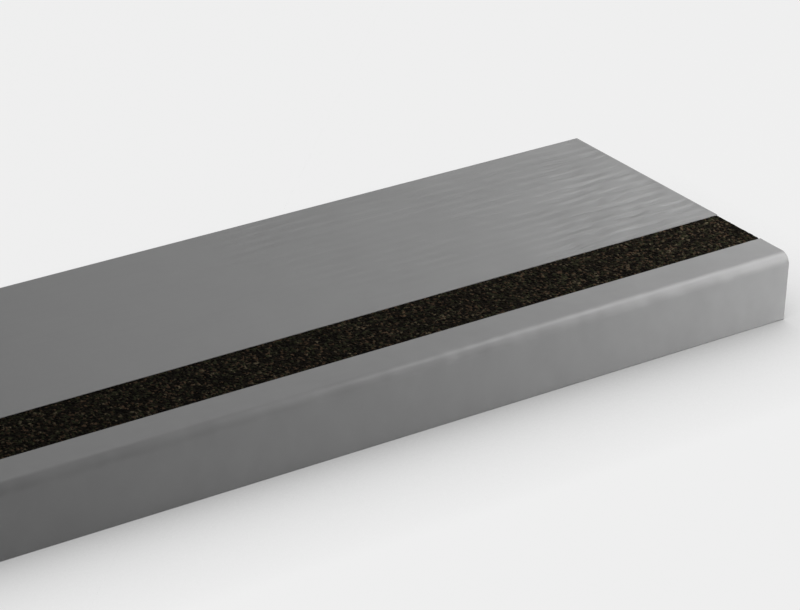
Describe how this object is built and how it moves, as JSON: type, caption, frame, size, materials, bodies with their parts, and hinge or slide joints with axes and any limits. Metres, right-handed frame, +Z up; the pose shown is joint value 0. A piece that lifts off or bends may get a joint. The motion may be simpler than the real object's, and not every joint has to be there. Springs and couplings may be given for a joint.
{
  "type": "stair tread trim",
  "caption": "Full-depth stair tread cover: flat grained plate, rounded nose and a short lip down the riser, with a black grit strip let in flush behind the nose.",
  "frame": {"origin": "on the bed face, the underside of the plate, at mid-length and midway between the lip's front face and the back edge", "axes": "+X along the step, +Y from the nose to the back of the tread, +Z up, out of the walking surface"},
  "size_m": [0.9, 0.26, 0.055],
  "materials": {
    "cover": "grey rigid PVC, satin, with a fine embossed wood grain on the plate and a smooth nose",
    "grit": "black mineral grit bound in resin, rough, with scattered paler grains"
  },
  "bodies": {
    "root": {"tread_cover": "cover", "grip_strip": "grit"}
  },
  "joints": []
}
